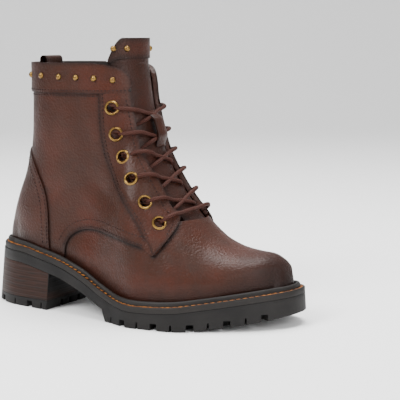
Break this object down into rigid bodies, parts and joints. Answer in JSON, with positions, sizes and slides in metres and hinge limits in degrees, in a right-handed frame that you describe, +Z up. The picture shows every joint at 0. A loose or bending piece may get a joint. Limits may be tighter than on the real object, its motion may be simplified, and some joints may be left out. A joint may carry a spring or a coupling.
{
  "type": "lace-up ankle boot",
  "caption": "Right-foot lace-up leather ankle boot with a stacked block heel, lugged platform sole, studded collar cuff and an inside zip.",
  "frame": {"origin": "middle of the heel's tread, on the floor", "axes": "+X towards the toe, +Y towards the medial (big toe) side, +Z up"},
  "size_m": [0.2734, 0.1087, 0.221],
  "materials": {
    "rubber": "matte",
    "welt": "satin",
    "stack": "satin",
    "insole": "matte",
    "leather": "waxed, pebbled grain",
    "brass": "antique",
    "lace": "round waxed cord",
    "zip_tape": "woven tape",
    "zip_teeth": "coil",
    "dark_metal": "dark antique"
  },
  "bodies": {
    "boot": {"outsole": "rubber", "welt": "welt", "heel_block": "stack", "heel_top_piece": "rubber", "insole": "insole", "upper": "leather", "tongue": "leather", "cuff": "leather", "cuff_front": "leather", "counter": "leather", "tongue_cuff": "leather", "eyestay_lateral": "leather", "eyelet_lateral_1": "brass", "eyelet_lateral_2": "brass", "eyelet_lateral_3": "brass", "eyelet_lateral_4": "brass", "eyelet_lateral_5": "brass", "eyelet_lateral_6": "brass", "cuff_stud_lateral_1": "brass", "cuff_stud_lateral_2": "brass", "cuff_stud_lateral_3": "brass", "cuff_stud_lateral_4": "brass", "cuff_stud_lateral_5": "brass", "cuff_stud_lateral_6": "brass", "eyestay_medial": "leather", "eyelet_medial_1": "brass", "eyelet_medial_2": "brass", "eyelet_medial_3": "brass", "eyelet_medial_4": "brass", "eyelet_medial_5": "brass", "eyelet_medial_6": "brass", "cuff_stud_medial_1": "brass", "cuff_stud_medial_2": "brass", "cuff_stud_medial_3": "brass", "cuff_stud_medial_4": "brass", "tongue_stud_1": "brass", "tongue_stud_2": "brass", "tongue_stud_3": "brass", "tongue_stud_4": "brass", "lace": "lace", "lace_keeper": "leather", "pull_loop": "leather", "zip_tape": "zip_tape", "zip_teeth": "zip_teeth", "zip_slider": "dark_metal"},
    "zip_pull": {"zip_pull": "dark_metal"}
  },
  "joints": [
    {"name": "zip_pull_hinge", "type": "hinge", "parent": "boot", "child": "zip_pull", "pos_m": [0.05117, 0.03971, 0.19461], "axis": [0.987, 0.0034, 0.1607], "range_deg": [0, 150]}
  ]
}
